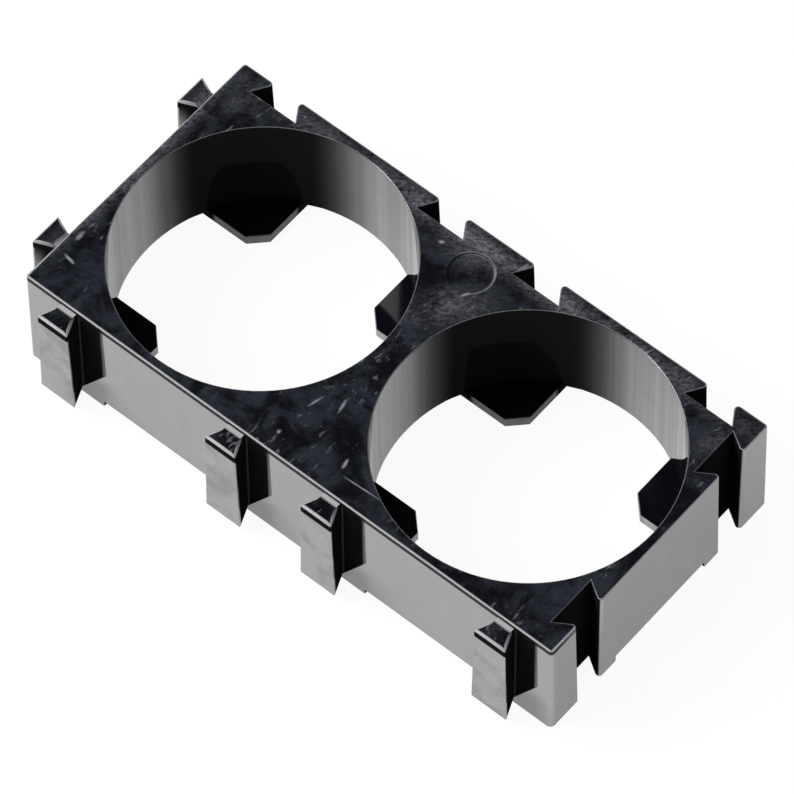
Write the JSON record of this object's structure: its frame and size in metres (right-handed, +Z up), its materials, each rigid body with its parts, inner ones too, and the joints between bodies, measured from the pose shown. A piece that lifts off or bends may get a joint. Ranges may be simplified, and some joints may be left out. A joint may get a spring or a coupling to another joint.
{
  "type": "battery cell holder bracket",
  "caption": "Black moulded bracket holding cylindrical cells side by side, with stop lugs, strip channels underneath and dovetails to link brackets.",
  "frame": {"origin": "middle of the whole footprint, tabs included, on the plane the feet stand on", "axes": "+X along the row of cells towards the end with slots, +Y towards the long side with slots, +Z up out of the cell bores"},
  "size_m": [0.0418, 0.0214, 0.0084],
  "materials": {
    "black_plastic": "moulded, satin to glossy, lightly scuffed on the top face"
  },
  "bodies": {
    "root": {"bracket": "black_plastic"}
  },
  "joints": []
}
